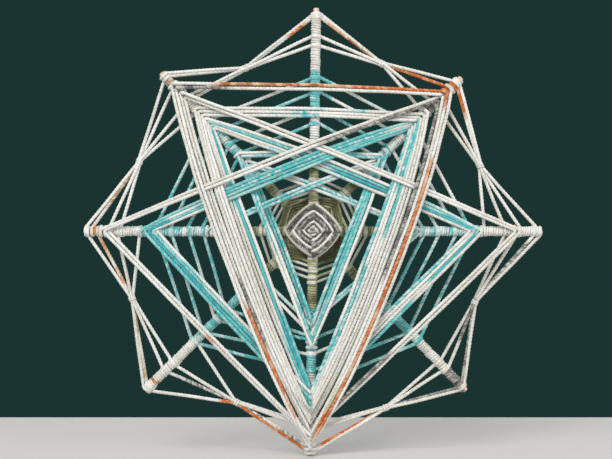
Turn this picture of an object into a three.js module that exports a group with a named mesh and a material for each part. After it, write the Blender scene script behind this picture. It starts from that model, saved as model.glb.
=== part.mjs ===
// Ojo de dios: four crossed skewers, bound at the middle and woven with one thin yarn.
// Units are millimetres, +Z is up and the woven face looks along -Y.
// A route is a list of points { x, z, depth }: x and z as seen from the front, and depth
// towards the viewer, so that depth is -Y.
import * as THREE from 'three';

// Sticks
const stickDiameter = 2.5;
const stickChamfer = 0.3;
const stickSides = 16;
const stickGap = 0.3;
const uprightLength = 198;
const levelLength = 203;
const risingLength = 199;
const fallingLength = 198;
const levelAngle = 0;
const risingAngle = 44.7;
const uprightAngle = 89.2;
const fallingAngle = 133.8;
const risingSlide = 3.7;
const risingShift = 2.2;

// Yarn, drawn tight
const yarnDiameter = 0.8;
const yarnSides = 5;
const seatGap = 0.4;
const strandGap = 0.45;
const crossGap = 0.3;
const crossSlack = 0.05;

// Places along an arm are shares of half its stick, so that the weaving keeps to the sticks' lengths.
// Triangles: strands in each zone, and where the outermost one crosses each arm, from its tip
const zones = [
  { name: 'outer', kite: 2, side: 2 },
  { name: 'middle', kite: 3, side: 4 },
  { name: 'inner', kite: 2, side: 2 },
];
const firstShare = { nw: 0.0725, ne: 0.0615, s: 0.0404, w: 0.064, e: 0.092 };
const stationShare = 0.036;
const innerZoneShare = 0.05;
const levelZoneShares = { w: { middle: 0.0989, inner: 0.158 }, e: { middle: 0.077, inner: 0.144 } };
const sharedLift = 0.8;
// The two long legs of the kite and of the side triangles spread sideways between their arms,
// by a share of how much further out than the innermost of them they lie
const longLegs = [['s', 'nw'], ['s', 'ne']];
const bowFromShare = 0.58;
const bowRate = 0.09;
const bowPlaces = [0.12, 0.5, 0.88];

// Rings on all eight arms: how far each round lies from the tip, or the olive ones from the hub
const tipShares = [0.0253, 0.0556];
const rimShares = [0.12, 0.165];
const turquoiseShares = [0.3131, 0.3788, 0.4545, 0.5202];
const oliveShares = [0.2283, 0.205, 0.1845, 0.165];

// Ties that draw the rim strands together: how far from the hub, and the share of the turn to the next arm
const tieShares = {
  e_ne: { out: 0.797, turn: 0.48 },
  ne_n: { out: 0.815, turn: 0.52 },
  n_nw: { out: 0.799, turn: 0.52 },
  nw_w: { out: 0.836, turn: 0.53 },
  w_sw: { out: 0.856, turn: 0.46 },
  sw_s: { out: 0.839, turn: 0.48 },
  s_se: { out: 0.858, turn: 0.52 },
  se_e: { out: 0.788, turn: 0.49 },
};
const tieLoops = 2.5;
const tieSteps = 8;
const tieSeatGap = 0.3;
const bundleGap = 0.68;

// Eyes at the hub: how far out the outermost strand lies, and the step from round to round
const greyEyeShare = 0.1212;
const greyEyeRounds = 5;
const oliveEyeShare = 0.15;
const oliveEyeRounds = 6;
const eyeStepShare = 0.02;

// Plain turns along the arms, and where their colour changes, from the tip
const colourShare = 0.2424;
const windingGap = 0.7;
const windingSteps = 7;
const mostLoops = 24;

// Colours
const bamboo = 0xd9b48a;
const cream = 0xe9e4d6;
const creamOrange = 0xe0c3a0;
const turquoise = 0x6cc5c6;
const paleTurquoise = 0xb9dcd8;
const olive = 0xa9ab82;
const grey = 0x9c9a97;
const stickRoughness = 0.7;
const yarnRoughness = 0.95;

const yarnRadius = yarnDiameter / 2;
const wrapRadius = stickDiameter / 2 + seatGap + yarnRadius;
const strandPitch = yarnDiameter + strandGap;
const crossing = yarnDiameter + crossGap;
const armRise = wrapRadius + crossing;
const frontTurn = Math.PI / 6;
const legAngle = Math.PI / 8;
const tuck = (strandPitch + crossSlack) / Math.sin(Math.PI / 4);

const yarnAboveStick = wrapRadius + yarnRadius - stickDiameter / 2;
const innerDepth = (stickDiameter + yarnAboveStick + stickGap) / 2;
const outerDepth = innerDepth + stickDiameter + stickGap;

const sticks = {
  upright: { length: uprightLength, angle: uprightAngle, slide: 0, shift: 0, depth: outerDepth },
  level: { length: levelLength, angle: levelAngle, slide: 0, shift: 0, depth: innerDepth },
  rising: {
    length: risingLength,
    angle: risingAngle,
    slide: -risingSlide,
    shift: risingShift,
    depth: -innerDepth,
  },
  falling: { length: fallingLength, angle: fallingAngle, slide: 0, shift: 0, depth: -outerDepth },
};

function makeArm(stickName, end) {
  const stick = sticks[stickName];
  const angle = THREE.MathUtils.degToRad(stick.angle) + (end > 0 ? 0 : Math.PI);
  return {
    angle,
    out: [Math.cos(angle), Math.sin(angle)],
    across: [-Math.sin(angle), Math.cos(angle)],
    half: stick.length / 2,
    reach: stick.length / 2 + end * stick.slide,
    shift: end * stick.shift,
    depth: stick.depth,
  };
}

const arms = {
  e: makeArm('level', 1),
  ne: makeArm('rising', 1),
  n: makeArm('upright', 1),
  nw: makeArm('falling', 1),
  w: makeArm('level', -1),
  sw: makeArm('rising', -1),
  s: makeArm('upright', -1),
  se: makeArm('falling', -1),
};

// A point of the yarn on an arm: turn 0 is in front, a quarter turn is its counter-clockwise side
function spot(arm, station, turn, lift = 0) {
  const radius = wrapRadius + lift;
  const middle = onAxis(arm, station);
  return {
    x: middle.x + arm.across[0] * radius * Math.sin(turn),
    z: middle.z + arm.across[1] * radius * Math.sin(turn),
    depth: middle.depth + radius * Math.cos(turn),
  };
}

function onAxis(arm, station) {
  return {
    x: arm.out[0] * station + arm.across[0] * arm.shift,
    z: arm.out[1] * station + arm.across[1] * arm.shift,
    depth: arm.depth,
  };
}

function sideOf(arm, other) {
  return Math.sign(Math.sin(other.angle - arm.angle));
}

// Everything laid so far, as plan stretches that a later strand has to pass in front of
const laid = [];

function remember(route) {
  for (let i = 1; i < route.length; i += 1) {
    laid.push({ from: route[i - 1], to: route[i], rise: crossing });
  }
}

function rememberArms(names) {
  for (const arm of names.map((name) => arms[name])) {
    laid.push({ from: onAxis(arm, 0), to: onAxis(arm, arm.reach), rise: armRise });
  }
}

function between(from, to, share) {
  return {
    x: THREE.MathUtils.lerp(from.x, to.x, share),
    z: THREE.MathUtils.lerp(from.z, to.z, share),
    depth: THREE.MathUtils.lerp(from.depth, to.depth, share),
  };
}

// Where a run passes over a laid stretch, seen from the front, and how far forward it has to be there
function passOver(from, to, stretch) {
  const run = [to.x - from.x, to.z - from.z];
  const old = [stretch.to.x - stretch.from.x, stretch.to.z - stretch.from.z];
  const turn = run[0] * old[1] - run[1] * old[0];
  const oldLength = Math.hypot(...old);
  if (Math.abs(turn) < 1e-6 * oldLength) {
    return null;
  }
  const apart = [stretch.from.x - from.x, stretch.from.z - from.z];
  const share = (apart[0] * old[1] - apart[1] * old[0]) / turn;
  const oldShare = (apart[0] * run[1] - apart[1] * run[0]) / turn;
  const margin = yarnDiameter / oldLength;
  if (share <= 0 || share >= 1 || oldShare < -margin || oldShare > 1 + margin) {
    return null;
  }
  const held = THREE.MathUtils.clamp(oldShare, 0, 1);
  const depth = THREE.MathUtils.lerp(stretch.from.depth, stretch.to.depth, held) + stretch.rise;
  return { ...between(from, to, share), depth, share };
}

// A run seen from the front, bowed away from the hub
function bowedPlan(from, to, bow) {
  const way = [to.x - from.x, to.z - from.z];
  const side = Math.sign(way[1] * from.x - way[0] * from.z) / Math.hypot(...way);
  const places = bow > 0 ? [0, ...bowPlaces, 1] : [0, 1];
  return places.map((share) => {
    const point = between(from, to, share);
    const out = bow * (1 - (2 * share - 1) ** 4) * side;
    return { ...point, x: point.x + out * way[1], z: point.z - out * way[0], share };
  });
}

// A taut run bends only where it rests on what lies under it: the upper hull of those places
function tautRun(from, to, bow) {
  const plan = bowedPlan(from, to, bow);
  const rests = [];
  for (let i = 1; i < plan.length; i += 1) {
    for (const stretch of laid) {
      const rest = passOver(plan[i - 1], plan[i], stretch);
      if (rest !== null) {
        rests.push({ ...rest, share: THREE.MathUtils.lerp(plan[i - 1].share, plan[i].share, rest.share) });
      }
    }
  }
  rests.sort((a, b) => a.share - b.share);
  const hull = [];
  for (const point of [plan[0], ...rests, plan.at(-1)]) {
    while (hull.length > 1 && !standsProud(hull.at(-2), hull.at(-1), point)) {
      hull.pop();
    }
    hull.push(point);
  }
  const bends = plan.slice(1, -1).map((point) => ({ ...point, depth: depthOn(hull, point.share) }));
  return [...hull.slice(1, -1), ...bends].sort((a, b) => a.share - b.share);
}

function depthOn(hull, share) {
  const next = hull.findIndex((point) => point.share > share);
  const [before, after] = [hull[next - 1], hull[next]];
  return THREE.MathUtils.mapLinear(share, before.share, after.share, before.depth, after.depth);
}

function standsProud(before, point, after) {
  const share = (point.share - before.share) / (after.share - before.share);
  return point.depth > THREE.MathUtils.lerp(before.depth, after.depth, share) + crossSlack;
}

function bowOf(before, after) {
  if (!longLegs.some((leg) => leg.includes(before.name) && leg.includes(after.name))) {
    return 0;
  }
  const further = [before, after].map(({ arm, station }) => station - bowFromShare * arm.half);
  return Math.max(0, (bowRate * (further[0] + further[1])) / 2);
}

// One yarn over the front of the named arms, round after round, from its first arm back to it
function figureRoute(names, stations, rounds, lifts = {}) {
  const corners = [];
  for (let round = 0; round < rounds; round += 1) {
    for (const name of names) {
      corners.push({ name, arm: arms[name], station: stations[name][round], lift: lifts[name] });
    }
  }
  corners.push({ ...corners[0], station: stations[names[0]][rounds - 1] - tuck });
  const route = [];
  corners.forEach(({ arm, station, lift }, i) => {
    if (i > 0) {
      const arrival = spot(arm, station, frontTurn * sideOf(arm, corners[i - 1].arm), lift);
      const run = tautRun(route.at(-1), arrival, bowOf(corners[i - 1], corners[i]));
      route.push(...run, arrival);
    }
    route.push(spot(arm, station, 0, lift));
    if (i < corners.length - 1) {
      route.push(spot(arm, station, frontTurn * sideOf(arm, corners[i + 1].arm), lift));
    }
  });
  remember(route);
  return route;
}

// One yarn round the back of all eight arms, counter-clockwise from the lowest one
const ringOrder = ['s', 'se', 'e', 'ne', 'n', 'nw', 'w', 'sw'];
const backTurns = [3, 5, 7, 9].map((sixth) => (-sixth * Math.PI) / 6);

function ringRoute(shares, stationOf, tieSlots) {
  const rounds = shares.length;
  const route = [];
  for (let i = 0; i <= rounds * ringOrder.length; i += 1) {
    const name = ringOrder[i % ringOrder.length];
    const last = i === rounds * ringOrder.length;
    const round = last ? rounds - 1 : Math.floor(i / ringOrder.length);
    const station = stationOf(arms[name], shares[round]) - (last ? tuck : 0);
    route.push(...backTurns.map((turn) => spot(arms[name], station, turn)));
    if (tieSlots && !last) {
      const next = ringOrder[(i + 1) % ringOrder.length];
      route.push(...throughTie(ties[`${name}_${next}`], tieSlots[round]));
    }
  }
  remember(route);
  return route;
}

// Ties
const rimStrands = tipShares.length + rimShares.length;
const bundleRadius = (yarnDiameter + bundleGap) / 2 / Math.sin(Math.PI / rimStrands);
const tieRadius = bundleRadius + yarnDiameter + tieSeatGap;
const tieLength = tieLoops * strandPitch;

function makeTie(before, after, share) {
  const first = arms[before];
  const second = arms[after];
  const apart = Math.atan2(Math.sin(second.angle - first.angle), Math.cos(second.angle - first.angle));
  const angle = first.angle + share.turn * apart;
  return {
    out: [Math.cos(angle), Math.sin(angle)],
    across: [-Math.sin(angle), Math.cos(angle)],
    fromHub: (share.out * (first.half + second.half)) / 2,
    depth: (first.depth + second.depth) / 2,
  };
}

const ties = {};
ringOrder.forEach((name, i) => {
  const next = ringOrder[(i + 1) % ringOrder.length];
  ties[`${name}_${next}`] = makeTie(name, next, tieShares[`${name}_${next}`]);
});

function tieSpot(tie, along, radius, turn) {
  const out = tie.fromHub + radius * Math.cos(turn);
  return {
    x: tie.out[0] * out + tie.across[0] * along,
    z: tie.out[1] * out + tie.across[1] * along,
    depth: tie.depth + radius * Math.sin(turn),
  };
}

// The outer strands lie to the outside of the bundle, in turn before and behind
function throughTie(tie, slot) {
  const step = (2 * Math.PI) / rimStrands;
  const turn = step / 4 + (slot % 2 ? -1 : 1) * Math.ceil(slot / 2) * step;
  const half = tieLength / 2 + yarnDiameter;
  return [-half, half].map((along) => tieSpot(tie, along, bundleRadius, turn));
}

function tieRoute(tie) {
  const steps = Math.round(tieLoops * tieSteps);
  return Array.from({ length: steps + 1 }, (_, i) => {
    const along = tieLength * (i / steps - 0.5);
    return tieSpot(tie, along, tieRadius, (2 * Math.PI * tieLoops * i) / steps);
  });
}

// Plain turns on an arm, as many as fit between two stations
function windingRoute(arm, inner, outer) {
  const pitch = yarnDiameter + windingGap;
  const loops = Math.min(mostLoops, Math.floor((outer - inner) / pitch));
  const steps = loops * windingSteps;
  const start = (inner + outer - loops * pitch) / 2;
  return Array.from({ length: steps + 1 }, (_, i) => {
    return spot(arm, start + (pitch * i) / windingSteps, (2 * Math.PI * i) / windingSteps);
  });
}

// A closed tube with flat ends along a route, with its rings in the bisecting planes
function tubeGeometry(route) {
  const points = route.map((point) => new THREE.Vector3(point.x, -point.depth, point.z));
  const ways = points.slice(1).map((point, i) => point.clone().sub(points[i]).normalize());
  const tangents = points.map((_, i) => {
    const before = ways[Math.max(i - 1, 0)];
    const after = ways[Math.min(i, ways.length - 1)];
    return before.clone().add(after).normalize();
  });
  const normal = new THREE.Vector3(0, 1, 0).cross(tangents[0]).normalize();
  const turn = new THREE.Quaternion();
  const positions = [];
  points.forEach((point, i) => {
    if (i > 0) {
      normal.applyQuaternion(turn.setFromUnitVectors(tangents[i - 1], tangents[i])).normalize();
    }
    const binormal = tangents[i].clone().cross(normal);
    for (let k = 0; k < yarnSides; k += 1) {
      const angle = (2 * Math.PI * k) / yarnSides;
      const corner = point.clone();
      corner.addScaledVector(normal, yarnRadius * Math.cos(angle));
      corner.addScaledVector(binormal, yarnRadius * Math.sin(angle));
      positions.push(...corner.toArray());
    }
  });
  const index = [];
  const last = (points.length - 1) * yarnSides;
  for (let ring = 0; ring < last; ring += yarnSides) {
    for (let k = 0; k < yarnSides; k += 1) {
      const next = (k + 1) % yarnSides;
      index.push(ring + k, ring + next, ring + yarnSides + next);
      index.push(ring + k, ring + yarnSides + next, ring + yarnSides + k);
    }
  }
  for (let k = 1; k < yarnSides - 1; k += 1) {
    index.push(0, k + 1, k);
    index.push(last, last + k, last + k + 1);
  }
  const geometry = new THREE.BufferGeometry();
  geometry.setAttribute('position', new THREE.Float32BufferAttribute(positions, 3));
  geometry.setIndex(index);
  geometry.computeVertexNormals();
  return geometry;
}

// The least clear distance of a wound yarn to itself, on points along it
function leastGap(route) {
  const step = yarnRadius;
  const near = 3 * strandPitch;
  const samples = [];
  let along = 0;
  for (let i = 1; i < route.length; i += 1) {
    const from = route[i - 1];
    const to = route[i];
    const length = Math.hypot(to.x - from.x, to.z - from.z, to.depth - from.depth);
    const count = Math.ceil(length / step);
    for (let k = 0; k < count; k += 1) {
      samples.push({ ...between(from, to, k / count), along: along + (length * k) / count });
    }
    along += length;
  }
  let least = Infinity;
  for (let i = 0; i < samples.length; i += 1) {
    const a = samples[i];
    for (let k = i + 1; k < samples.length; k += 1) {
      const b = samples[k];
      if (b.along - a.along > near) {
        least = Math.min(least, Math.hypot(a.x - b.x, a.z - b.z, a.depth - b.depth));
      }
    }
  }
  return least - yarnDiameter;
}

const ojo = new THREE.Group();

function addPiece(name, geometry, color, roughness) {
  const mesh = new THREE.Mesh(geometry, new THREE.MeshStandardMaterial({ color, roughness, metalness: 0 }));
  mesh.name = name;
  ojo.add(mesh);
  return mesh;
}

function addYarn(name, route, color) {
  addPiece(name, tubeGeometry(route), color, yarnRoughness);
  console.log(`${name}: least gap to itself ${leastGap(route).toFixed(2)} mm`);
}

// Each stick lies in the plane of the weaving, with small chamfers on its cut ends
for (const [name, stick] of Object.entries(sticks)) {
  const radius = stickDiameter / 2;
  const half = stick.length / 2;
  const profile = [
    [0, -half],
    [radius - stickChamfer, -half],
    [radius, stickChamfer - half],
    [radius, half - stickChamfer],
    [radius - stickChamfer, half],
    [0, half],
  ].map(([x, y]) => new THREE.Vector2(x, y));
  const geometry = new THREE.LatheGeometry(profile, stickSides);
  const mesh = addPiece(`stick_${name}`, geometry, bamboo, stickRoughness);
  const angle = THREE.MathUtils.degToRad(stick.angle);
  const x = stick.slide * Math.cos(angle) - stick.shift * Math.sin(angle);
  const z = stick.slide * Math.sin(angle) + stick.shift * Math.cos(angle);
  mesh.rotation.set(0, -angle, -Math.PI / 2, 'YXZ');
  mesh.position.set(x, -stick.depth, z);
}

// Eyes: a small woven square on each pair of sticks, the rear one before the front sticks go on
function eyeRoute(names, outerShare, rounds) {
  const shares = Array.from({ length: rounds }, (_, round) => outerShare - round * eyeStepShare);
  const byArm = names.map((name) => [name, shares.map((share) => share * arms[name].half)]);
  return figureRoute(names, Object.fromEntries(byArm), rounds);
}

const diagonalArms = ['se', 'ne', 'nw', 'sw'];
const straightArms = ['s', 'e', 'n', 'w'];
rememberArms(diagonalArms);
addYarn('eye_olive', eyeRoute(diagonalArms, oliveEyeShare, oliveEyeRounds), olive);
rememberArms(straightArms);
addYarn('eye_grey', eyeRoute(straightArms, greyEyeShare, greyEyeRounds), grey);

// Rings: the inner ones run straight from arm to arm, the outer ones through the ties
const fromTip = (arm, share) => arm.reach - share * arm.half;
const fromHub = (arm, share) => share * arm.half;
const tipSlots = tipShares.map((_, i) => i);
const rimSlots = rimShares.map((_, i) => i + tipShares.length);
addYarn('olive_rounds', ringRoute(oliveShares, fromHub), olive);
addYarn('turquoise_rounds', ringRoute(turquoiseShares, fromTip), turquoise);
addYarn('rim_rounds', ringRoute(rimShares, fromTip, rimSlots), cream);
addYarn('tip_rounds', ringRoute(tipShares, fromTip, tipSlots), creamOrange);

for (const [name, tie] of Object.entries(ties)) {
  addYarn(`tie_${name}`, tieRoute(tie), cream);
}

// Triangles: stations along each arm, counted inwards in steps of one strand.
// On the lowest arm the left and right triangles share a zone, half a step apart, the left one on top.
const figures = {
  right_triangle: { names: ['s', 'nw', 'e'], count: 'side' },
  left_triangle: { names: ['w', 'ne', 's'], count: 'side', lifts: { s: sharedLift } },
  kite: { names: ['ne', 's', 'nw'], count: 'kite' },
};

function stationTable() {
  const table = {};
  const place = Object.fromEntries(Object.entries(firstShare).map(([k, v]) => [k, fromTip(arms[k], v)]));
  for (const zone of zones) {
    const take = (arm, figure, count, offset) => {
      table[`${zone.name} ${figure} ${arm}`] = Array.from({ length: count }, (_, i) => {
        return place[arm] - (offset + i) * stationShare * arms[arm].half;
      });
    };
    const inward = (arm, share) => {
      place[arm] -= share * arms[arm].half;
    };
    for (const arm of ['nw', 'ne', 's']) {
      inward(arm, zone.name === 'inner' ? innerZoneShare : 0);
      take(arm, 'kite', zone.kite, 0);
      inward(arm, zone.kite * stationShare);
    }
    for (const arm of ['w', 'e']) {
      inward(arm, levelZoneShares[arm][zone.name] ?? 0);
    }
    for (const arm of ['w', 'ne', 's']) {
      take(arm, 'left_triangle', zone.side, 0);
    }
    for (const arm of ['nw', 'e']) {
      take(arm, 'right_triangle', zone.side, 0);
    }
    take('s', 'right_triangle', zone.side, 0.5);
    for (const arm of Object.keys(place)) {
      inward(arm, (zone.side + (arm === 's' ? 0.5 : 0)) * stationShare);
    }
  }
  return table;
}

const stations = stationTable();
const zoneColours = { outer: cream, middle: paleTurquoise, inner: turquoise };

// Laid from the inside outwards, and in each zone the right triangle first and the kite last
for (const zone of zones.toReversed()) {
  for (const [figure, { names, count, lifts }] of Object.entries(figures)) {
    const byArm = Object.fromEntries(names.map((name) => [name, stations[`${zone.name} ${figure} ${name}`]]));
    const route = figureRoute(names, byArm, zone[count], lifts);
    addYarn(`${zone.name}_${figure}`, route, zoneColours[zone.name]);
  }
}

// Windings: plain turns that fill an arm between two rings, or between a ring and a triangle's legs
const ringClear = yarnDiameter + strandGap;
const legReach = wrapRadius + yarnDiameter + crossGap - wrapRadius * Math.sin(frontTurn);
const legClear = legReach / Math.tan(legAngle) + yarnDiameter;
const legsEnd = (arm, figure) => stations[`inner ${figure} ${arm}`].at(-1) - tuck - legClear;

function addWinding(name, armName, inner, outer, color) {
  addYarn(`winding_${armName}_${name}`, windingRoute(arms[armName], inner, outer), color);
}

const middleFirst = { w: stations['middle left_triangle w'][0], e: stations['middle right_triangle e'][0] };
for (const name of ['n', 'sw', 'se', 'w', 'e']) {
  const inner = (middleFirst[name] ?? fromTip(arms[name], colourShare)) + ringClear;
  const outer = fromTip(arms[name], rimShares.at(-1)) - ringClear;
  addWinding('rim', name, inner, outer, cream);
}
for (const name of ['n', 'sw', 'se']) {
  const inner = fromTip(arms[name], turquoiseShares[0]) + ringClear;
  const outer = fromTip(arms[name], colourShare) - ringClear;
  addWinding('middle', name, inner, outer, paleTurquoise);
}
const hubEnd = (name) => fromHub(arms[name], oliveShares[0]) + ringClear;
addWinding('hub', 'n', hubEnd('n'), fromTip(arms.n, turquoiseShares[3]) - ringClear, olive);
addWinding('hub', 'w', hubEnd('w'), legsEnd('w', 'left_triangle'), olive);
addWinding('hub', 'e', hubEnd('e'), legsEnd('e', 'right_triangle'), olive);
addWinding('hub', 's', hubEnd('s'), legsEnd('s', 'right_triangle'), olive);
addWinding('hub', 'nw', hubEnd('nw'), legsEnd('nw', 'right_triangle'), olive);
addWinding('hub', 'ne', hubEnd('ne'), legsEnd('ne', 'left_triangle'), olive);

export default ojo;
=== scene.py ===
"""Ojo de dios: plied, hand-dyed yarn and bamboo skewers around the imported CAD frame.

Routes are lists of points (x, z, depth) in millimetres, as seen from the front, with depth towards
the viewer, so that depth is -Y. Meshes, the floor and the lamps are in metres.
"""

import math
import random

import bpy
import numpy as np
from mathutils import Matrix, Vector


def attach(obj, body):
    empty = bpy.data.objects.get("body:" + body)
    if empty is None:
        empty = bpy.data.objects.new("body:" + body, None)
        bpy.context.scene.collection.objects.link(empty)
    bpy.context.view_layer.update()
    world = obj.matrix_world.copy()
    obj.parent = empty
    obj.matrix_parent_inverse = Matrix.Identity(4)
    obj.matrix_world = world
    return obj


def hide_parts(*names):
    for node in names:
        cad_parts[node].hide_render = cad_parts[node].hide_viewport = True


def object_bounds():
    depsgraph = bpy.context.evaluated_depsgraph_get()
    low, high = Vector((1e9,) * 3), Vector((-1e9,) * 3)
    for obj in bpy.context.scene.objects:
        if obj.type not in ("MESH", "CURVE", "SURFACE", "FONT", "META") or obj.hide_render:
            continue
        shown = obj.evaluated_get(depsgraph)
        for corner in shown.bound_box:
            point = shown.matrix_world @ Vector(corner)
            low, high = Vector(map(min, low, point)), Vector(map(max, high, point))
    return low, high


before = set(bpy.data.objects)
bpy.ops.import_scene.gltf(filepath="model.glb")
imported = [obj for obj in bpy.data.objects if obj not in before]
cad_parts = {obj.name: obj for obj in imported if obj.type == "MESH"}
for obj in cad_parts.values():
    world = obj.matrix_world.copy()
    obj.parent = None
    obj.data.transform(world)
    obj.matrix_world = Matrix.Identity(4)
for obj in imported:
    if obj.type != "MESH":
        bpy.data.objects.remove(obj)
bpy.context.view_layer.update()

MM = 0.001

# Sticks, as in the CAD frame: length, angle from level, slide along itself, shift across, depth
STICKS = {
    "upright": (198, 89.2, 0, 0, 4.8),
    "level": (203, 0, 0, 0, 2.0),
    "rising": (199, 44.7, -3.7, 2.2, -2.0),
    "falling": (198, 133.8, 0, 0, -4.8),
}
# Arms: the stick, and which end of it
ARMS = {
    "e": ("level", 1),
    "ne": ("rising", 1),
    "n": ("upright", 1),
    "nw": ("falling", 1),
    "w": ("level", -1),
    "sw": ("rising", -1),
    "s": ("upright", -1),
    "se": ("falling", -1),
}
RING_ORDER = ["s", "se", "e", "ne", "n", "nw", "w", "sw"]
DIAGONAL = ["se", "ne", "nw", "sw"]
STRAIGHT = ["s", "e", "n", "w"]

# Yarn radii: plain strands, the eyes' strands, the finer turns that cover the arms, the ties' lashings
STRAND_RADIUS = 0.82
EYE_RADIUS = 0.66
COVER_YARN_RADIUS = 0.66
TIE_YARN_RADIUS = 0.5

# Yarn section: its plies, the depth of the grooves between them and the painted shade that darkens them,
# the length of one twist
PLIES = 3
YARN_SIDES = 9
PLY_DEPTH = 0.1
# painted shade: how far the dye is darkened in the grooves between the plies
GROOVE_PAINTED_SHADE = 0.25
TWIST_PITCH = 4.8

# Steps: a mesh's rings, the finer points, how many of them are smoothed to each side, a turn's points
RING_STEP = 0.36
FINE_STEP = 0.25
SMOOTH_REACH = 3
ARC_STEP = math.radians(18)

# Small wander of every strand: its width, and the length from one random value to the next
WOBBLE = 0.3
WOBBLE_LENGTH = 14

# Turns at an arm: the radius of the plain turns, of a strand's turn, and of a strand over the front
COVER_RADIUS = 1.68
TURN_RADIUS = 1.85
FRONT_RADIUS = 2.5

# How far from the middle of the front a strand comes on, and how far past it where it crosses itself
FRONT_TURN = math.radians(9)
CROSSED_TURN = math.radians(-7)
CROSSED_ARMS = ["s"]

# How far a turn's start lies under its end, a strand's lift over the next one in, a yarn end's tuck
UNDER = 0.3
SHINGLE = 0.1
TUCK = 1.9

# Crossings: how far in front of an older strand a strand passes, and of an arm, middle to middle
CROSSING = 1.45
ARM_RISE = 3.1

# How far a crossing stands proud before a strand bends there, how far past its end an old one counts
CROSS_SLACK = 0.05
END_REACH = 1.0

# Limits below which two pieces count as parallel, and a piece as having no length
PARALLEL = 1e-6
SHORTEST = 1e-9

# Triangles: the arms of each in order, with the one that is laid first at the top
FIGURES = {
    "right_triangle": ["s", "nw", "e"],
    "left_triangle": ["w", "ne", "s"],
    "kite": ["ne", "s", "nw"],
}
# Zones of the triangles, from the inside outwards: the pattern of the dye, and the slot
ZONES = {
    "inner": ("mixed", "turquoise_yarn"),
    "middle": ("white", "turquoise_yarn"),
    "outer": ("white", "white_yarn"),
}
# Where the outermost strand of each triangle crosses an arm, from the tip, and the step to the next
FIGURE_PLACES = {
    ("outer", "kite"): {"nw": (7.8, 2.7), "ne": (7.3, 2.6), "s": (3.0, 2.0)},
    ("outer", "right_triangle"): {"nw": (13.3, 2.8), "e": (10.1, 2.0), "s": (8.4, 1.8)},
    ("outer", "left_triangle"): {"ne": (12.6, 2.7), "w": (7.3, 2.0), "s": (7.5, 1.8)},
    ("middle", "kite"): {"nw": (22.8, 2.2), "ne": (22.0, 2.2), "s": (14.0, 2.4)},
    ("middle", "right_triangle"): {"nw": (29.2, 1.9), "e": (26.8, 1.8), "s": (22.2, 2.2)},
    ("middle", "left_triangle"): {"ne": (27.6, 1.9), "w": (25.0, 1.9), "s": (21.1, 2.2)},
    ("inner", "kite"): {"nw": (50.5, 2.4), "ne": (47.5, 2.4), "s": (47.5, 2.5)},
    ("inner", "right_triangle"): {"nw": (55.5, 2.4), "e": (53.8, 1.9), "s": (55.0, 4.0)},
    ("inner", "left_triangle"): {"ne": (52.5, 2.4), "w": (54.5, 1.9), "s": (53.0, 4.0)},
}
# How often the yarn goes round a triangle; the right and the left one are alike, as sides
FIGURE_ROUNDS = {
    ("outer", "kite"): 2,
    ("outer", "side"): 2,
    ("middle", "kite"): 3,
    ("middle", "side"): 4,
    ("inner", "kite"): 2,
    ("inner", "side"): 2,
}

# Bows: midway between two arms strands lie side by side, a step apart; the power flattens the middle
STRAND_STEP = 1.52
BOW_POWER = 2.4
BOW_POINTS = 17

# Long legs: how far from the hub the innermost strand of a zone's band lies midway
LONG_LEGS = [{"s", "nw"}, {"s", "ne"}]
LEG_INNERMOST = {"outer": 25.4, "middle": 25.4, "inner": 14.4}

# How many strands of the band on a long leg lie inside a triangle's outermost one
STRANDS_INSIDE = {
    ("outer", "kite"): 10,
    ("outer", "side"): 8,
    ("middle", "kite"): 6,
    ("middle", "side"): 3,
    ("inner", "kite"): 3,
    ("inner", "side"): 1,
}

# Other runs: how far the innermost strand bows, and an eye's strands do, as shares of the length
RUN_BOW = 0.002
EYE_BOW = 0.08

# Tip and rim rounds: where each round comes to an arm, and where it leaves it, from the tip
RIM_PLACES = {
    "s": ([1.4, 2.7, 11.0, 12.7], [1.4, 2.7, 11.0, 12.7]),
    "se": ([2.4, 3.6, 14.1, 18.5], [2.6, 3.8, 12.5, 17.4]),
    "e": ([1.0, 3.9, 11.5, 16.7], [1.9, 9.2, 16.0, 25.2]),
    "ne": ([3.0, 5.0, 13.2, 17.7], [3.6, 7.0, 16.5, 22.9]),
    "n": ([2.8, 4.4, 12.9, 17.0], [2.8, 4.0, 12.2, 16.1]),
    "nw": ([2.2, 4.0, 16.3, 18.4], [3.2, 8.7, 17.5, 23.5]),
    "w": ([1.0, 3.7, 11.5, 16.3], [1.2, 5.7, 14.2, 23.8]),
    "sw": ([0.9, 2.8, 12.9, 18.0], [1.2, 12.8, 17.0, 30.8]),
}
TIP_ROUNDS = 2
RIM_ROUNDS = 2
RING_PITCH = 0.7

# Inner rounds, as shares of half a stick: the turquoise ones from the tip, the olive ones from the hub
TURQUOISE_SHARES = [0.3131, 0.3788, 0.4545, 0.5202]
OLIVE_SHARES = [0.2303, 0.2061, 0.1778, 0.1515]

# Eyes: how far out the outermost strand lies, the step to the next, and the rounds
GREY_EYE = (12.4, 1.17, 11)
OLIVE_EYE = (17.0, 1.35, 9)

# Ties: how far from the hub, as a share of half a stick, and the share of the turn to the next arm
TIE_PLACES = {
    "e_ne": (0.797, 0.48),
    "ne_n": (0.815, 0.52),
    "n_nw": (0.799, 0.52),
    "nw_w": (0.836, 0.53),
    "w_sw": (0.856, 0.46),
    "sw_s": (0.839, 0.48),
    "s_se": (0.858, 0.52),
    "se_e": (0.788, 0.49),
}
BUNDLE_RADIUS = 0.62
TIE_RADIUS = 1.3
TIE_LOOPS = 2
TIE_PITCH = 0.9

# Plain turns that cover each arm: their start from the hub, their step, the bare length at the tip
COVER_FROM_HUB = 12
COVER_PITCH = 1.09
BARE_TIP = {"n": 2.2, "w": 0.2, "e": 0.2, "sw": 0.3}
USUAL_BARE_TIP = 1.0

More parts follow.
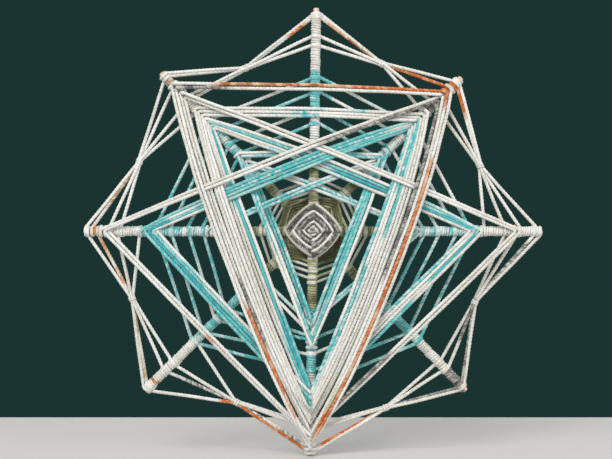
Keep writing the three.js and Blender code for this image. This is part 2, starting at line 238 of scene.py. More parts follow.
# The CAD coils of each arm, which its plain turns replace
ARM_NODES = {
    "n": ["rim", "middle", "hub"],
    "sw": ["rim", "middle"],
    "se": ["rim", "middle"],
    "w": ["rim", "hub"],
    "e": ["rim", "hub"],
    "s": ["hub"],
    "nw": ["hub"],
    "ne": ["hub"],
}

# Colours, as sRGB hex
CREAM = "ddd9cd"
WHITE = "ecebe5"
TURQUOISE = "57bfc0"
DEEP_TURQUOISE = "2f9fa8"
PALE_TURQUOISE = "a9d8d3"
RUST = "cb6614"
BROWN = "b4692a"
PEACH = "dca06c"
PALE_PEACH = "e6bd96"
TAN = "b09468"
OLIVE = "6c6d42"
PALE_OLIVE = "adad84"
PALE_GREEN = "b4c98f"
BEIGE = "bdb8a0"
LIGHT_GREY = "b9b6ae"
GREY = "85827b"
CHARCOAL = "4a4843"
BAMBOO = "e8d2bd"
BAMBOO_GRAIN = "c6a284"
FLOOR_COLOUR = "c6c4c0"
BACKDROP_COLOUR = "1b3431"

# Patterns of dye: first colour, second colour, share of the second, length of a patch
PATTERNS = {
    "white": (WHITE, CREAM, 0.5, 40),
    "mixed": (WHITE, TURQUOISE, 0.55, 30),
    "turns": (WHITE, TURQUOISE, 0.6, 22),
    "rounds": (WHITE, TURQUOISE, 0.72, 45),
    "flecks": (WHITE, TURQUOISE, 0.4, 5),
    "pale": (WHITE, PALE_TURQUOISE, 0.7, 12),
    "teal": (PALE_TURQUOISE, TURQUOISE, 0.75, 14),
    "deep": (TURQUOISE, DEEP_TURQUOISE, 0.6, 20),
    "rust": (PALE_PEACH, RUST, 0.85, 9),
    "mottled": (PALE_PEACH, BROWN, 0.7, 3.5),
    "peach": (WHITE, PEACH, 0.75, 6),
    "tan": (CREAM, TAN, 0.7, 9),
    "green": (CREAM, PALE_GREEN, 0.8, 9),
    "olive": (PALE_OLIVE, OLIVE, 0.6, 20),
    "moss": (OLIVE, PALE_OLIVE, 0.35, 12),
    "loops": (CREAM, PALE_OLIVE, 0.4, 12),
    "beige": (LIGHT_GREY, BEIGE, 0.6, 15),
    "specks": (WHITE, LIGHT_GREY, 0.4, 8),
    "grey": (LIGHT_GREY, GREY, 0.5, 4),
    "dark": (LIGHT_GREY, CHARCOAL, 0.8, 2.5),
}

# Stretches of other patterns, by the run's number and the share of it, or on a winding from the hub
STRETCHES = {
    "outer_kite": [
        (2.15, 2.65, "mottled"),
        (2.65, 3.05, "rust"),
        (3.05, 3.2, "peach"),
        (3.2, 3.97, "rust"),
        (4.02, 4.14, "peach"),
        (4.14, 4.4, "rust"),
        (5.0, 5.2, "grey"),
    ],
    "outer_right_triangle": [(0.28, 0.48, "grey"), (5.62, 6.0, "grey")],
    "outer_left_triangle": [
        (1.84, 1.9, "green"),
        (1.9, 1.98, "rust"),
        (2.475, 2.5, "rust"),
        (3.65, 4.52, "grey"),
    ],
    "middle_kite": [(2.3, 2.75, "flecks"), (5.3, 5.75, "flecks"), (8.35, 8.65, "flecks")],
    "middle_right_triangle": [
        (1.55, 2.0, "pale"),
        (2.4, 3.0, "teal"),
        (3.0, 3.25, "teal"),
        (3.7, 3.79, "teal"),
        (4.0, 5.0, "teal"),
        (5.0, 5.3, "deep"),
        (6.0, 7.0, "deep"),
        (7.45, 8.0, "deep"),
        (9.0, 9.3, "teal"),
        (10.2, 10.6, "pale"),
        (11.0, 11.5, "mixed"),
    ],
    "middle_left_triangle": [
        (0.0, 1.4, "teal"),
        (2.0, 3.1, "teal"),
        (3.1, 3.9, "mixed"),
        (4.0, 4.7, "mixed"),
        (5.0, 6.1, "deep"),
        (6.1, 7.0, "teal"),
        (7.5, 8.0, "mixed"),
        (8.0, 9.0, "teal"),
        (9.2, 10.0, "teal"),
        (10.0, 11.0, "mixed"),
        (11.7, 12.0, "pale"),
    ],
    "inner_kite": [(0.0, 1.0, "rounds"), (3.0, 4.0, "teal")],
    "inner_left_triangle": [(1.0, 1.8, "teal"), (4.0, 5.0, "rounds")],
    "inner_right_triangle": [(0.3, 0.9, "teal"), (3.0, 3.4, "rounds")],
    "tip_rounds": [
        (7.42, 8.0, "rust"),
        (8.04, 8.52, "rust"),
        (8.55, 9.3, "grey"),
        (9.3, 9.95, "specks"),
        (10.8, 11.78, "rust"),
        (11.78, 11.95, "peach"),
        (12.05, 12.2, "rust"),
        (13.55, 13.85, "tan"),
        (14.0, 14.46, "peach"),
        (14.5, 14.97, "tan"),
        (15.05, 15.95, "specks"),
    ],
    "rim_rounds": [(1.2, 1.5, "grey")],
    "eye_grey": [
        (0.0, 1.0, "beige"),
        (1.0, 2.0, "loops"),
        (2.0, 4.0, "beige"),
        (4.0, 12.0, "dark"),
        (16.0, 20.0, "dark"),
        (20.0, 24.0, "grey"),
        (24.0, 28.0, "dark"),
        (32.0, 36.0, "dark"),
        (40.0, 44.0, "grey"),
    ],
    "olive_rounds": [(24, 32, "olive")],
    "turquoise_rounds": [(3.85, 4.15, "teal"), (11.85, 12.15, "teal"), (19.85, 20.15, "teal")],
    "winding_nw": [(70, 84, "tan"), (92, 98, "tan")],
    "winding_ne": [(68, 84, "grey"), (86, 93, "rust")],
    "winding_se": [(40, 52, "pale"), (55, 64, "teal"), (87, 93, "grey"), (93, 99, "dark")],
    "winding_w": [(96.5, 99.5, "rust")],
    "winding_s": [(12, 17, "loops"), (50, 62, "teal")],
    "winding_sw": [(34, 65, "teal"), (96.4, 97.6, "mottled")],
}
# Stretches of the plain turns on every arm
ARM_STRETCHES = [(0, 34, "olive"), (34, 71, "turns")]

# Flecks of the first colour in a pattern's patches: length, share and strength
FLECK_LENGTH = 1.6
FLECK_SHARE = 0.4
FLECK_STRENGTH = 0.65

# Heathers, the patterns with dark fibres: length, share and strength of the fibres
HEATHERS = ["specks", "grey", "dark"]
HEATHER_LENGTH = 0.9
HEATHER_SHARE = 0.45
HEATHER_DARK = 0.75

# Darker flecks all along every yarn: length, share and depth
SHADE_LENGTH = 0.8
SHADE_SHARE = 0.4
SHADE_DEPTH = 0.15

# Soft edges: of patches and flecks, as part of a random walk's range, and of stretches
PATCH_EDGE = 0.25
FLECK_EDGE = 0.4
STRETCH_FADE = 0.04

# Surfaces: fine noise for the yarn's fibres and the bamboo's grain, and a bump from it, in metres
BUMP_HEIGHT = 0.0001
FIBRE_SCALE = 2600
FIBRE_DETAIL = 4
FIBRE_SHADES = (0.8, 1.1)
FIBRE_BUMP = 0.5
YARN_ROUGHNESS = 0.95
YARN_SHEEN = 0.25
YARN_SHEEN_ROUGHNESS = 0.6
YARN_SPECULAR = 0.2
GRAIN_SCALE = 900
GRAIN_DETAIL = 3
GRAIN_EDGES = (0.3, 0.75)
GRAIN_BUMP = 0.3
BAMBOO_ROUGHNESS = 0.6
FLOOR_ROUGHNESS = 0.9

# Stage, in metres: a pale floor under the lowest arm, soft lamps of a place, size and watts, even light
FLOOR_WIDTH = 1.6
FLOOR_FRONT = -0.4
FLOOR_BACK = 0.13
FLOOR_DROP = 0.0002
LAMPS = {
    "key": ((-0.6, -1.2, 0.9), 0.9, 22),
    "fill": ((0.9, -0.8, 0.25), 0.9, 7),
    "rear": ((0.3, 1.3, 0.5), 0.9, 6),
}
WORLD_STRENGTH = 0.49

# Camera, in millimetres: the hub's place and the scale are those of the 612 by 459 photograph
IMAGE_WIDTH = 612
IMAGE_HEIGHT = 459
HUB_PIXEL = (313.1, 231.3)
PIXELS_PER_MM = 2.24
CAMERA_DISTANCE = 580
CAMERA_ELEVATION = math.radians(-1)
SENSOR_WIDTH = 36


# Arms


class Arm:
    """Half of a stick, from the hub outwards."""

    def __init__(self, stick, end):
        length, degrees, slide, shift, self.depth = STICKS[stick]
        self.angle = math.radians(degrees) + (0 if end > 0 else math.pi)
        self.out = np.array([math.cos(self.angle), math.sin(self.angle)])
        self.across = np.array([-self.out[1], self.out[0]])
        self.half = length / 2
        self.reach = self.half + end * slide
        self.middle = self.across * end * shift

    def spot(self, station, turn, radius):
        """A point of the yarn: turn 0 is in front, a quarter turn is the counter-clockwise side."""
        x, z = self.middle + self.out * station + self.across * radius * math.sin(turn)
        return (x, z, self.depth + radius * math.cos(turn))

    def side_of(self, other):
        """1 if the other arm lies counter-clockwise of this one, -1 if not."""
        return 1 if math.sin(other.angle - self.angle) > 0 else -1

    def bend(self, station, start, end, lift):
        """A strand's turn round the stick between two angles, that stands off it in front."""
        steps = math.ceil(abs(end - start) / ARC_STEP)
        points = []
        for share in np.linspace(0, 1, steps + 1):
            turn = start + (end - start) * share
            rise = FRONT_RADIUS + lift - UNDER * (1 - share) - TURN_RADIUS
            points.append(self.spot(station, turn, TURN_RADIUS + rise * max(0, math.cos(turn))))
        return points

    def turn_and_half(self, come, go):
        """A ring's turn: over the front where it comes, round the back, over the front where it goes."""
        turns = np.arange(-math.pi / 2, 5 * math.pi / 2 + ARC_STEP / 2, ARC_STEP)
        ends = [come + RING_PITCH / 2, go - RING_PITCH / 2]
        stations = np.interp(turns, [math.pi / 2, 3 * math.pi / 2], ends)
        return [self.spot(station, turn, TURN_RADIUS) for station, turn in zip(stations, turns)]


arms = {name: Arm(*what) for name, what in ARMS.items()}


def from_tip(arm, share):
    """The station at a share of half a stick from the tip."""
    return arm.reach - share * arm.half


def from_hub(arm, share):
    """The station at a share of half a stick from the hub."""
    return share * arm.half


# Laying: each strand passes in front of what lies under it

laid = []


def remember(points, rise=CROSSING):
    """Keeps what was laid, piece by piece, with how far in front of it a later strand passes."""
    for before, after in zip(points, points[1:]):
        laid.append((*before, *after, rise))


def remember_arms(names):
    for name in names:
        arm = arms[name]
        remember([arm.spot(0, 0, 0), arm.spot(arm.reach, 0, 0)], ARM_RISE)


def bowed_plan(start, end, bow):
    """A run as seen from the front, bowed away from the hub: shares of the run, and points."""
    shares = np.linspace(0, 1, BOW_POINTS if bow else 2)
    way = np.subtract(end, start)
    side = math.copysign(1, way[1] * start[0] - way[0] * start[1])
    out = bow * (1 - abs(2 * shares - 1) ** BOW_POWER) * side / math.hypot(way[0], way[1])
    points = np.array(start) + way * shares[:, None]
    points[:, 0] += out * way[1]
    points[:, 1] -= out * way[0]
    return shares, points


def rests_on(start, end):
    """Where a straight piece passes over older strands, and how far forward it has to be there."""
    old = np.array(laid)
    way = np.subtract(end, start)
    older = old[:, 3:5] - old[:, 0:2]
    apart = old[:, 0:2] - np.array(start[:2])
    turn = way[0] * older[:, 1] - way[1] * older[:, 0]
    length = np.hypot(older[:, 0], older[:, 1])
    crosses = np.abs(turn) > PARALLEL * length
    turn = np.where(crosses, turn, 1)
    share = (apart[:, 0] * older[:, 1] - apart[:, 1] * older[:, 0]) / turn
    older_share = (apart[:, 0] * way[1] - apart[:, 1] * way[0]) / turn
    margin = END_REACH / np.maximum(length, SHORTEST)
    crosses &= (share > 0) & (share < 1) & (older_share > -margin) & (older_share < 1 + margin)
    held = np.clip(older_share, 0, 1)
    height = old[:, 2] + (old[:, 5] - old[:, 2]) * held + old[:, 6]
    return share[crosses], height[crosses]


def stands_proud(before, point, after):
    """Whether a point of a strand's profile lies in front of the line between its neighbours."""
    share = (point[0] - before[0]) / (after[0] - before[0])
    return point[1] > before[1] + (after[1] - before[1]) * share + CROSS_SLACK


def taut_run(start, end, bow):
    """The points between two spots of a taut strand, which bends only where it rests on older ones."""
    shares, plan = bowed_plan(start, end, bow)
    rests = []
    for i in range(len(shares) - 1):
        part, height = rests_on(plan[i], plan[i + 1])
        rests += zip(shares[i] + (shares[i + 1] - shares[i]) * part, height)
    hull = []
    for point in [(0, start[2]), *sorted(rests), (1, end[2])]:
        while len(hull) > 1 and not stands_proud(hull[-2], hull[-1], point):
            hull.pop()
        hull.append(point)
    hull_shares, hull_depths = np.array(hull).T
    places = np.unique(np.concatenate([shares, hull_shares]))[1:-1]
    seen = [np.interp(places, shares, plan[:, i]) for i in (0, 1)]
    return list(zip(*seen, np.interp(places, hull_shares, hull_depths)))


# Routes


class Route:
    """Points of one yarn, each with its place: the run's number plus the share of that run.

    On the plain turns of an arm, the place is the distance from the hub.
    """

    def __init__(self):
        self.points = []
        self.places = []

    def add(self, points, first, last):
        self.points += points
        self.places += list(np.linspace(first, last, len(points)))

    def add_run(self, points, number):
        """The inner points of a run, placed by their distance from its start."""
        start = np.array(self.points[-1])
        ends = np.array(points)
        gone = np.linalg.norm(ends[:, :2] - start[:2], axis=1)
        self.points += points[:-1]
        self.places += list(number + gone[:-1] / gone[-1])


def figure_route(names, stops, bow_of, crossed):
    """One yarn over the front of the named arms, with a full turn at each, round after round.

    A stop is a station and a lift off the arm, in the order of the names. At a crossed arm the yarn
    reaches past the middle of its front, so that it crosses itself there.
    """
    route = Route()
    for i, (station, lift) in enumerate(stops):
        before, name, after = (names[k % len(names)] for k in (i - 1, i, i + 1))
        arm = arms[name]
        front_turn = CROSSED_TURN if name in crossed else FRONT_TURN
        start = front_turn * arm.side_of(arms[before])
        end = front_turn * arm.side_of(arms[after]) - 2 * math.pi * arm.side_of(arms[before])
        bend = arm.bend(station, start, end, lift)
        if i:
            last = route.points[-1]
            bow = bow_of((i - 1) // len(names), {before, name}, last, bend[0])
            run = taut_run(last, bend[0], bow)
            remember([last, *run, bend[0]])
            route.add_run([*run, bend[0]], i - 1)
        route.add(bend, i, i)
        remember([bend[0], arm.spot(station, 0, FRONT_RADIUS + lift), bend[-1]])
    return route


def eye_route(names, first, step, rounds):
    stops = [(first - i * step, 0) for i in range(rounds) for _ in names]

    def bow_of(number, run, start, end):
        return EYE_BOW * math.dist(start, end)

    return figure_route(names, stops, bow_of, names)


def triangle_route(zone, figure):
    names = FIGURES[figure]
    kind = "kite" if figure == "kite" else "side"
    rounds = FIGURE_ROUNDS[zone, kind]
    inside = STRANDS_INSIDE[zone, kind]

    def station(name, number):
        first, step = FIGURE_PLACES[zone, figure][name]
        return arms[name].reach - first - number * step

    def chord(run, number):
        """How far from the hub a straight run between two arms lies, and its length."""
        start, end = [arms[name].spot(station(name, number), 0, 0)[:2] for name in run]
        length = math.dist(start, end)
        return abs(start[0] * end[1] - start[1] * end[0]) / length, length

    def bow_of(number, run, start, end):
        distance, length = chord(run, number)
        if run in LONG_LEGS:
            return LEG_INNERMOST[zone] + STRAND_STEP * (inside - number) - distance
        innermost, _ = chord(run, rounds - 1)
        return RUN_BOW * length + max(0, STRAND_STEP * (rounds - 1 - number) - (distance - innermost))

    stops = [(station(name, i), SHINGLE * (inside - i)) for i in range(rounds) for name in names]
    stops.append((stops[-len(names)][0] - TUCK, 0))
    return figure_route(names, stops, bow_of, CROSSED_ARMS)


def ring_route(rounds, tie_slots=None):
    """One yarn round all eight arms, counter-clockwise from the lowest.

    A round names for each arm the station where the yarn comes to it, and the one where it leaves it.
    """
    route = Route()
    count = len(rounds) * len(RING_ORDER)
    for i in range(count + 1):
        name = RING_ORDER[i % len(RING_ORDER)]
        come, go = rounds[min(i // len(RING_ORDER), len(rounds) - 1)][name]
        inward = TUCK if i == count else 0
        bend = arms[name].turn_and_half(come - inward, go - inward)
        if i:
            through = []
            if tie_slots:
                before = RING_ORDER[(i - 1) % len(RING_ORDER)]
                slot = tie_slots[(i - 1) // len(RING_ORDER)]
                through = ties[f"{before}_{name}"].through(slot)
            remember([route.points[-1], *through, bend[0]])
            route.add_run([*through, bend[0]], i - 1)
        route.add(bend, i, i)
    return route


def even_rounds(shares, place_on):
    """Rounds that cross every arm at the same share of half a stick."""
    return [{name: (place_on(arm, share),) * 2 for name, arm in arms.items()} for share in shares]


def rim_round(i):
    """One of the tip and rim rounds, counted from the tip."""
    places = RIM_PLACES.items()
    return {name: (arms[name].reach - come[i], arms[name].reach - go[i]) for name, (come, go) in places}


class Tie:
    """A short lashing halfway between two arms, which draws the rim strands together."""

    def __init__(self, before, after, out, turn):
        first, second = arms[before], arms[after]
        apart = (second.angle - first.angle) % (2 * math.pi)
        angle = first.angle + apart * turn
        self.out = np.array([math.cos(angle), math.sin(angle)])
        self.across = np.array([-self.out[1], self.out[0]])
        self.from_hub = out * (first.half + second.half) / 2
        self.depth = (first.depth + second.depth) / 2
        self.length = TIE_LOOPS * TIE_PITCH

    def spot(self, along, radius, turn):
        x, z = self.out * (self.from_hub + radius * math.cos(turn)) + self.across * along
        return (x, z, self.depth + radius * math.sin(turn))

    def through(self, slot):
        """The outer strands lie to the outside of the bundle, in turn before and behind."""
        step = 2 * math.pi / (TIP_ROUNDS + RIM_ROUNDS)
        turn = step / 4 + (-1 if slot % 2 else 1) * math.ceil(slot / 2) * step
        half = self.length / 2 + TIE_YARN_RADIUS
        return [self.spot(along, BUNDLE_RADIUS, turn) for along in (-half, half)]

    def route(self):
        turns = np.linspace(0, 2 * math.pi * TIE_LOOPS, round(2 * math.pi * TIE_LOOPS / ARC_STEP))
        along = np.linspace(-self.length / 2, self.length / 2, len(turns))
        route = Route()
        route.add([self.spot(a, TIE_RADIUS, t) for a, t in zip(along, turns)], 0, 1)
        return route


ties = {}
for before, after in zip(RING_ORDER, RING_ORDER[1:] + RING_ORDER[:1]):
    ties[f"{before}_{after}"] = Tie(before, after, *TIE_PLACES[f"{before}_{after}"])


def cover_route(name):
    """The plain turns on an arm, under the other strands."""
    arm = arms[name]
    start, end = COVER_FROM_HUB, arm.reach - BARE_TIP.get(name, USUAL_BARE_TIP)
    loops = round((end - start) / COVER_PITCH)
    turns = np.linspace(0, 2 * math.pi * loops, round(2 * math.pi * loops / ARC_STEP))
    along = np.linspace(start, end, len(turns))
    route = Route()
    route.add([arm.spot(a, t, COVER_RADIUS) for a, t in zip(along, turns)], start, end)
    return route


# Dye


def linear(code):
    """A linear colour from an sRGB hex code."""
    parts = [int(code[i : i + 2], 16) / 255 for i in (0, 2, 4)]
    return np.array([p / 12.92 if p <= 0.04045 else ((p + 0.055) / 1.055) ** 2.4 for p in parts])


def wander(along, length, seed):
    """A smooth random walk between 0 and 1, with a new value at each length."""
    chance = random.Random(seed)
    knots = np.array([chance.random() for _ in range(int(along[-1] / length) + 3)])
    at = along / length
    low = at.astype(int)
    part = at - low
    part = part * part * (3 - 2 * part)
    return knots[low] * (1 - part) + knots[low + 1] * part


def blend(first, second, share):
    return first + (second - first) * share[..., None]


def step_up(value, middle, width):
    """From 0 to 1 as the value passes the middle of an edge of that width."""
    return np.clip((value - middle) / width + 0.5, 0, 1)


def flecked(along, length, share, seed):
    """Where short flecks lie along each ply of a yarn, from 0 to 1."""
    walks = [wander(along, length, f"{seed} {ply}") for ply in range(PLIES)]
    return step_up(np.stack(walks, axis=1), 1 - share, FLECK_EDGE)


def patterned(pattern, along, seed):
    """The colour of each ply of a yarn, ring by ring: long patches, broken by flecks."""
    first, second, share, length = PATTERNS[pattern]
    patches = step_up(wander(along, length, seed), 1 - share, PATCH_EDGE)
    flecks = flecked(along, FLECK_LENGTH, FLECK_SHARE, seed + " fleck")
    return blend(linear(first), linear(second), patches[:, None] * (1 - FLECK_STRENGTH * flecks))


def dyed(name, pattern, along, places):
    """The colour of each ply: its pattern and stretches, a heather's dark fibres, darker flecks."""
    colours = patterned(pattern, along, name)
    heather = np.zeros(len(along))
    usual = ARM_STRETCHES if name.startswith("winding") else []
    for start, end, other in usual + STRETCHES.get(name, []):
        inside = step_up(places, start, STRETCH_FADE) * (1 - step_up(places, end, STRETCH_FADE))
        colours = blend(colours, patterned(other, along, name + other), inside[:, None])
        heather = heather * (1 - inside) + (inside if other in HEATHERS else 0)
    dark = flecked(along, HEATHER_LENGTH, HEATHER_SHARE, name + " heather")
    colours = blend(colours, linear(CHARCOAL), HEATHER_DARK * heather[:, None] * dark)
    shade = flecked(along, SHADE_LENGTH, SHADE_SHARE, name + " shade")
    return colours * (1 - SHADE_DEPTH * shade[..., None])


# Yarn meshes

SIDE_TURNS = 2 * math.pi * np.arange(YARN_SIDES) / YARN_SIDES
LOBES = np.cos(PLIES * SIDE_TURNS)
# A direction that no yarn starts along
SKEW = (0.3, 0.9, 0.1)


def evenly(points, places, step):
    """Points and places at an even spacing along a polyline, and the distances along it."""
    gone = np.concatenate([[0], np.cumsum(np.linalg.norm(np.diff(points, axis=0), axis=1))])
    count = max(3, round(gone[-1] / step))
    along = np.linspace(0, gone[-1], count + 1)
    even = np.stack([np.interp(along, gone, points[:, i]) for i in range(3)], axis=1)
    return even, np.interp(along, gone, places), along


def softened(points):
    """Rounds off the corners of a finely stepped polyline, with its ends held."""
    padded = np.pad(points, ((SMOOTH_REACH, SMOOTH_REACH), (0, 0)), mode="edge")
    sums = np.cumsum(np.concatenate([np.zeros((1, 3)), padded]), axis=0)
    width = 2 * SMOOTH_REACH + 1
    return (sums[width:] - sums[:-width]) / width


def carried_normals(tangents):
    """A normal for each point that turns no more than the yarn does."""
    normal = np.cross(tangents[0], SKEW)
    normals = []
    for tangent in tangents:
        normal = normal - tangent * normal.dot(tangent)
        normal = normal / math.sqrt(normal.dot(normal))
        normals.append(normal)
    return np.array(normals)


def yarn_path(name, route):
    """The middle of each ring of a yarn in the scene's axes, its place, and its distance along."""
    points = np.array(route.points, dtype=float)
    fine, places, along = evenly(points, np.array(route.places), FINE_STEP)
    for i in range(3):
        fine[:, i] += WOBBLE * (wander(along, WOBBLE_LENGTH, f"{name} {i}") - 0.5)
    centres, places, along = evenly(softened(fine), places, RING_STEP)
    return centres[:, [0, 2, 1]] * (1, -1, 1), places, along


def yarn_rings(centres, along, radius):
    """The points of each ring: a section with a lobe for each ply, which twists along the yarn."""
    tangents = np.gradient(centres, axis=0)
    tangents /= np.linalg.norm(tangents, axis=1)[:, None]
    normals = carried_normals(tangents)
    binormals = np.cross(tangents, normals)
    radii = radius * (1 + PLY_DEPTH * (LOBES - 1))
    twist = 2 * math.pi * along / TWIST_PITCH
    turn = (SIDE_TURNS[None, :] + twist[:, None])[:, :, None]
    outward = np.cos(turn) * normals[:, None, :] + np.sin(turn) * binormals[:, None, :]
    return centres[:, None, :] + radii[None, :, None] * outward


def yarn_faces(rings):
    """The faces between the rings, and a cap at each end."""
    first = (np.arange(rings - 1) * YARN_SIDES)[:, None]
    this = first + np.arange(YARN_SIDES)
    following = first + np.roll(np.arange(YARN_SIDES), -1)
    corners = [this, following, following + YARN_SIDES, this + YARN_SIDES]
    quads = np.stack(corners, axis=2).reshape(-1, 4)
    last = (rings - 1) * YARN_SIDES
    caps = [list(range(YARN_SIDES))[::-1], list(range(last, last + YARN_SIDES))]
    return quads.tolist() + caps


def yarn_colours(name, pattern, along, places):
    """The colour of each ring's points: that of their ply, with painted shade darkening the grooves."""
    ply_of_side = (np.arange(YARN_SIDES) + 1) * PLIES // YARN_SIDES % PLIES
    # painted shade: the dye is darkened in the grooves between the plies, where shade falls
    painted_groove_shade = 1 - GROOVE_PAINTED_SHADE * (1 - LOBES[None, :, None]) / 2
    colours = dyed(name, pattern, along, places)[:, ply_of_side] * painted_groove_shade
    opaque = np.ones((len(along), YARN_SIDES, 4))
    opaque[:, :, :3] = colours
    return opaque


def yarn_mesh(name, route, pattern, radius):
    """A plied yarn along a route, with its dye on the points."""
    centres, places, along = yarn_path(name, route)
    vertices = (yarn_rings(centres, along, radius) * MM).reshape(-1, 3)
    mesh = bpy.data.meshes.new(name)
    mesh.from_pydata(vertices.tolist(), [], yarn_faces(len(along)))
    mesh.shade_smooth()
    dye = mesh.attributes.new("dye", "FLOAT_COLOR", "POINT")
    dye.data.foreach_set("color", yarn_colours(name, pattern, along, places).ravel())
    return mesh


def add_yarn(name, route, pattern, radius=STRAND_RADIUS, nodes=None):
    """One piece of yarn, which replaces the CAD node of its name, or the given ones."""
    piece = bpy.data.objects.new(f"yarn_{name}", yarn_mesh(name, route, pattern, radius))
    bpy.context.collection.objects.link(piece)
    piece.data.materials.append(yarn_material)
    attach(piece, "root")
    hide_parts(*(nodes or [name]))


# Materials


class Surface:
    """A new material, with its nodes and its shader."""

    def __init__(self, name, roughness):
        self.material = bpy.data.materials.new(name)
        self.material.use_nodes = True
        self.nodes = self.material.node_tree.nodes
        self.links = self.material.node_tree.links
        self.shader = self.nodes["Principled BSDF"]
        self.shader.inputs["Roughness"].default_value = roughness

    def noise(self, scale, detail):
        place = self.nodes.new("ShaderNodeTexCoord")
        noise = self.nodes.new("ShaderNodeTexNoise")
        noise.inputs["Scale"].default_value = scale
        noise.inputs["Detail"].default_value = detail
        self.links.new(place.outputs["Object"], noise.inputs["Vector"])
        return noise.outputs["Fac"]

    def bump(self, height, strength):
        bump = self.nodes.new("ShaderNodeBump")
        bump.inputs["Strength"].default_value = strength
        bump.inputs["Distance"].default_value = BUMP_HEIGHT
        self.links.new(height, bump.inputs["Height"])
        self.links.new(bump.outputs["Normal"], self.shader.inputs["Normal"])


def make_yarn_material():
    """Dye from the points of the mesh, with fine fibres and a soft sheen."""
    surface = Surface("dyed_yarn", YARN_ROUGHNESS)
    nodes, links, shader = surface.nodes, surface.links, surface.shader
    dye = nodes.new("ShaderNodeAttribute")
    dye.attribute_name = "dye"
    fibres = surface.noise(FIBRE_SCALE, FIBRE_DETAIL)
    shade = nodes.new("ShaderNodeMapRange")
    darkest, lightest = FIBRE_SHADES
    shade.inputs["To Min"].default_value = darkest
    shade.inputs["To Max"].default_value = lightest
    links.new(fibres, shade.inputs["Value"])
    tint = nodes.new("ShaderNodeVectorMath")
    tint.operation = "SCALE"
    links.new(dye.outputs["Color"], tint.inputs[0])
    links.new(shade.outputs["Result"], tint.inputs["Scale"])
    links.new(tint.outputs["Vector"], shader.inputs["Base Color"])
    surface.bump(fibres, FIBRE_BUMP)
    shader.inputs["Sheen Weight"].default_value = YARN_SHEEN
    shader.inputs["Sheen Roughness"].default_value = YARN_SHEEN_ROUGHNESS
    shader.inputs["Specular IOR Level"].default_value = YARN_SPECULAR
    return surface.material


def make_bamboo_material():
    """Pale bamboo with a fine, darker grain."""
    surface = Surface("bamboo", BAMBOO_ROUGHNESS)
    grain = surface.noise(GRAIN_SCALE, GRAIN_DETAIL)
    ramp = surface.nodes.new("ShaderNodeValToRGB")
    for element, edge, code in zip(ramp.color_ramp.elements, GRAIN_EDGES, (BAMBOO_GRAIN, BAMBOO)):
        element.position = edge
        element.color = (*linear(code), 1)
    surface.links.new(grain, ramp.inputs["Fac"])
    surface.links.new(ramp.outputs["Color"], surface.shader.inputs["Base Color"])
    surface.bump(grain, GRAIN_BUMP)
    return surface.material


yarn_material = make_yarn_material()
bamboo_material = make_bamboo_material()
for name in STICKS:
    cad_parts[f"stick_{name}"].material_slots[0].material = bamboo_material


# Pieces: the strands in the order in which they are laid, then the plain turns under them

remember_arms(DIAGONAL)
add_yarn("eye_olive", eye_route(DIAGONAL, *OLIVE_EYE), "moss", EYE_RADIUS)
remember_arms(STRAIGHT)
add_yarn("eye_grey", eye_route(STRAIGHT, *GREY_EYE), "white", EYE_RADIUS)

olive_rounds = even_rounds(OLIVE_SHARES, from_hub)
turquoise_rounds = even_rounds(TURQUOISE_SHARES, from_tip)
tip_slots = list(range(TIP_ROUNDS))
rim_slots = list(range(TIP_ROUNDS, TIP_ROUNDS + RIM_ROUNDS))
add_yarn("olive_rounds", ring_route(olive_rounds), "loops", EYE_RADIUS)
add_yarn("turquoise_rounds", ring_route(turquoise_rounds), "rounds")
add_yarn("rim_rounds", ring_route([rim_round(i) for i in rim_slots], rim_slots), "white")
add_yarn("tip_rounds", ring_route([rim_round(i) for i in tip_slots], tip_slots), "white")
for name, tie in ties.items():
    add_yarn(f"tie_{name}", tie.route(), "white", TIE_YARN_RADIUS)

for zone, (pattern, slot) in ZONES.items():
    for figure in FIGURES:
        add_yarn(f"{zone}_{figure}", triangle_route(zone, figure), pattern)

for name, parts in ARM_NODES.items():
    coils = [f"winding_{name}_{part}" for part in parts]
    add_yarn(f"winding_{name}", cover_route(name), "white", COVER_YARN_RADIUS, coils)


# Stage and camera


def make_floor():
    low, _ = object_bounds()
    mesh = bpy.data.meshes.new("floor")
    z = low[2] - FLOOR_DROP
    corners = [(side * FLOOR_WIDTH / 2, y, z) for y in (FLOOR_FRONT, FLOOR_BACK) for side in (-1, 1)]
    mesh.from_pydata(corners, [], [(0, 1, 3, 2)])
    floor = bpy.data.objects.new("floor", mesh)
    bpy.context.collection.objects.link(floor)
    surface = Surface("floor", FLOOR_ROUGHNESS)
    surface.shader.inputs["Base Color"].default_value = (*linear(FLOOR_COLOUR), 1)
    floor.data.materials.append(surface.material)


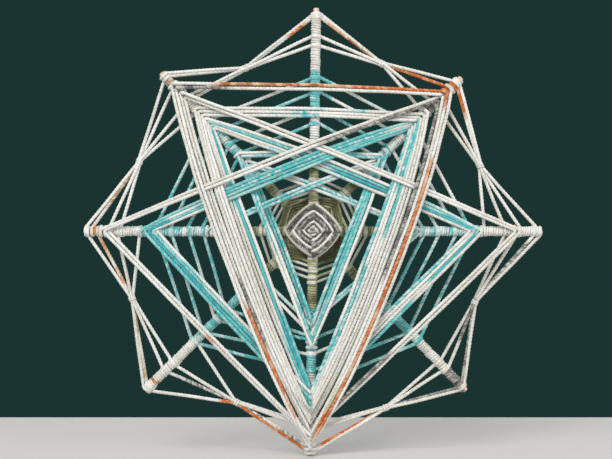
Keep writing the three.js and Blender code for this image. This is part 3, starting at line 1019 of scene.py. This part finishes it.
def make_world():
    """Even white light, with a plain dark backdrop where the camera or a reflection sees the world."""
    world = bpy.data.worlds.new("studio")
    bpy.context.scene.world = world
    world.use_nodes = True
    nodes, links = world.node_tree.nodes, world.node_tree.links
    light = nodes["Background"]
    light.inputs["Color"].default_value = (1, 1, 1, 1)
    light.inputs["Strength"].default_value = WORLD_STRENGTH
    backdrop = nodes.new("ShaderNodeBackground")
    backdrop.inputs["Color"].default_value = (*linear(BACKDROP_COLOUR), 1)
    ray = nodes.new("ShaderNodeLightPath")
    mirrored = nodes.new("ShaderNodeMath")
    mirrored.operation = "MAXIMUM"
    links.new(ray.outputs["Is Glossy Ray"], mirrored.inputs[0])
    links.new(ray.outputs["Is Transmission Ray"], mirrored.inputs[1])
    seen = nodes.new("ShaderNodeMath")
    seen.operation = "MAXIMUM"
    links.new(ray.outputs["Is Camera Ray"], seen.inputs[0])
    links.new(mirrored.outputs["Value"], seen.inputs[1])
    choice = nodes.new("ShaderNodeMixShader")
    links.new(seen.outputs["Value"], choice.inputs["Fac"])
    links.new(light.outputs["Background"], choice.inputs[1])
    links.new(backdrop.outputs["Background"], choice.inputs[2])
    links.new(choice.outputs["Shader"], nodes["World Output"].inputs["Surface"])


def facing_hub(place):
    return (-Vector(place)).to_track_quat("-Z", "Y").to_euler()


def add_lamp(name, place, size, watts):
    light = bpy.data.lights.new(name, "AREA")
    light.size = size
    light.energy = watts
    lamp = bpy.data.objects.new(name, light)
    lamp.location = place
    lamp.rotation_euler = facing_hub(place)
    bpy.context.collection.objects.link(lamp)


def make_camera():
    """A camera that has the hub at its pixel, at the photograph's scale."""
    optics = bpy.data.cameras.new("camera")
    optics.sensor_width = SENSOR_WIDTH
    optics.lens = PIXELS_PER_MM * SENSOR_WIDTH * CAMERA_DISTANCE / IMAGE_WIDTH
    optics.shift_x = (IMAGE_WIDTH / 2 - HUB_PIXEL[0]) / IMAGE_WIDTH
    optics.shift_y = (HUB_PIXEL[1] - IMAGE_HEIGHT / 2) / IMAGE_WIDTH
    camera = bpy.data.objects.new("camera", optics)
    direction = Vector((0, -math.cos(CAMERA_ELEVATION), math.sin(CAMERA_ELEVATION)))
    camera.location = direction * CAMERA_DISTANCE * MM
    camera.rotation_euler = facing_hub(camera.location)
    bpy.context.collection.objects.link(camera)
    bpy.context.scene.camera = camera


make_floor()
make_world()
for name, lamp in LAMPS.items():
    add_lamp(name, *lamp)
make_camera()
bpy.context.scene.view_settings.view_transform = "Standard"
